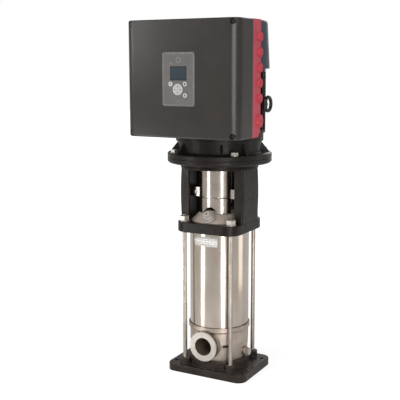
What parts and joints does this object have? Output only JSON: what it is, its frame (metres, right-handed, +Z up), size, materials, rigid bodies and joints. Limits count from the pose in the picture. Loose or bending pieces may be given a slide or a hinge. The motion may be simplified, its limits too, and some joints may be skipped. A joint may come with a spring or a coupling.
{
  "type": "vertical multistage pump",
  "caption": "Vertical inline multistage pump with stainless sleeve, staybolts, cast stool with coupling guard, fan-cooled motor and a front control box with keypad.",
  "frame": {"origin": "on the pump's axis at the underside of the base plate, the centre of the bolt pattern", "axes": "+Z up along the shaft; the control box and suction port face -Y; +X is the right side seen from the front"},
  "size_m": [0.3395, 0.372, 1.001],
  "materials": {
    "cast_black": "painted, satin",
    "cast_stainless": "investment cast, bead blasted",
    "polished_stainless": "polished tube",
    "sheet_stainless": "pressed sheet, bright",
    "rod_steel": "turned bar",
    "zinc_steel": "bright plated",
    "bearing_steel": "ground",
    "core_steel": "laminated sheet",
    "coupling_iron": "machined",
    "winding": "varnished copper wire",
    "seal": "moulded rubber",
    "seal_metal": "machined",
    "fan_paint": "blue-grey paint, satin",
    "fan_plastic": "moulded",
    "eye_black": "black, forged",
    "box_dark": "dark warm grey powder coat",
    "box_red": "red moulded plastic",
    "panel_grey": "printed film",
    "frame_grey": "moulded",
    "display": "clear window over a display",
    "light_ring": "light guide",
    "board": "printed circuit board",
    "key_grey": "moulded key"
  },
  "bodies": {
    "pump": {"base_plate": "cast_black", "motor_stool": "cast_black", "motor_flange": "cast_black", "stator_housing": "cast_black", "end_shield": "cast_black", "pump_base": "cast_stainless", "pump_head": "cast_stainless", "outer_sleeve": "polished_stainless", "guard_front": "sheet_stainless", "guard_rear": "sheet_stainless", "chamber_straps": "sheet_stainless", "stage_chambers": "sheet_stainless", "staybolts": "rod_steel", "staybolt_nuts": "zinc_steel", "staybolt_washers": "zinc_steel", "guard_screws": "zinc_steel", "flange_bolts": "zinc_steel", "fan_cover_screws": "zinc_steel", "cover_screws": "zinc_steel", "drain_plug": "zinc_steel", "vent_plug": "zinc_steel", "bearing_outer_rings": "bearing_steel", "stator_core": "core_steel", "stator_windings": "winding", "sleeve_o_rings": "seal", "cover_gasket": "seal", "shaft_bushes": "seal", "seal_cartridge": "seal_metal", "fan_cover": "fan_paint", "lifting_eyes": "eye_black", "front_cover": "box_dark", "drive_housing": "box_dark", "side_panels": "box_red", "cable_plugs": "box_red", "control_panel": "panel_grey", "panel_frame": "frame_grey", "display_window": "display", "status_light": "light_ring", "circuit_board": "board", "keypad_board": "board"},
    "rotor": {"motor_shaft": "rod_steel", "rotor_core": "core_steel", "fan": "fan_plastic", "bearing_inner_rings": "bearing_steel", "coupling_half_left": "coupling_iron", "coupling_half_right": "coupling_iron", "coupling_screws": "zinc_steel", "coupling_pin": "rod_steel", "pump_shaft": "rod_steel", "impellers": "sheet_stainless", "seal_rotor": "seal_metal"},
    "vent_screw": {"vent_screw": "zinc_steel"},
    "key_back": {"key_back": "key_grey"},
    "key_home": {"key_home": "key_grey"},
    "key_info": {"key_info": "key_grey"},
    "key_ok": {"key_ok": "key_grey"},
    "key_up": {"key_up": "key_grey"},
    "key_down": {"key_down": "key_grey"},
    "key_left": {"key_left": "key_grey"},
    "key_right": {"key_right": "key_grey"}
  },
  "joints": [
    {"name": "rotor_spin", "type": "hinge", "parent": "pump", "child": "rotor", "pos_m": [0, 0, 0.54], "axis": [0, 0, 1], "continuous": true},
    {"name": "vent_turn", "type": "hinge", "parent": "pump", "child": "vent_screw", "pos_m": [0, -0.066, 0.4575], "axis": [0, -0.7071, 0.7071], "range_deg": [0, 90]},
    {"name": "key_back_press", "type": "slide", "parent": "pump", "child": "key_back", "axis": [0, 1, 0], "range_m": [0, 0.0008], "stiffness_N_per_m": 400},
    {"name": "key_home_press", "type": "slide", "parent": "pump", "child": "key_home", "axis": [0, 1, 0], "range_m": [0, 0.0008], "stiffness_N_per_m": 400},
    {"name": "key_info_press", "type": "slide", "parent": "pump", "child": "key_info", "axis": [0, 1, 0], "range_m": [0, 0.0008], "stiffness_N_per_m": 400},
    {"name": "key_ok_press", "type": "slide", "parent": "pump", "child": "key_ok", "axis": [0, 1, 0], "range_m": [0, 0.0008], "stiffness_N_per_m": 400},
    {"name": "key_up_press", "type": "slide", "parent": "pump", "child": "key_up", "axis": [0, 1, 0], "range_m": [0, 0.0008], "stiffness_N_per_m": 400},
    {"name": "key_down_press", "type": "slide", "parent": "pump", "child": "key_down", "axis": [0, 1, 0], "range_m": [0, 0.0008], "stiffness_N_per_m": 400},
    {"name": "key_left_press", "type": "slide", "parent": "pump", "child": "key_left", "axis": [0, 1, 0], "range_m": [0, 0.0008], "stiffness_N_per_m": 400},
    {"name": "key_right_press", "type": "slide", "parent": "pump", "child": "key_right", "axis": [0, 1, 0], "range_m": [0, 0.0008], "stiffness_N_per_m": 400}
  ]
}
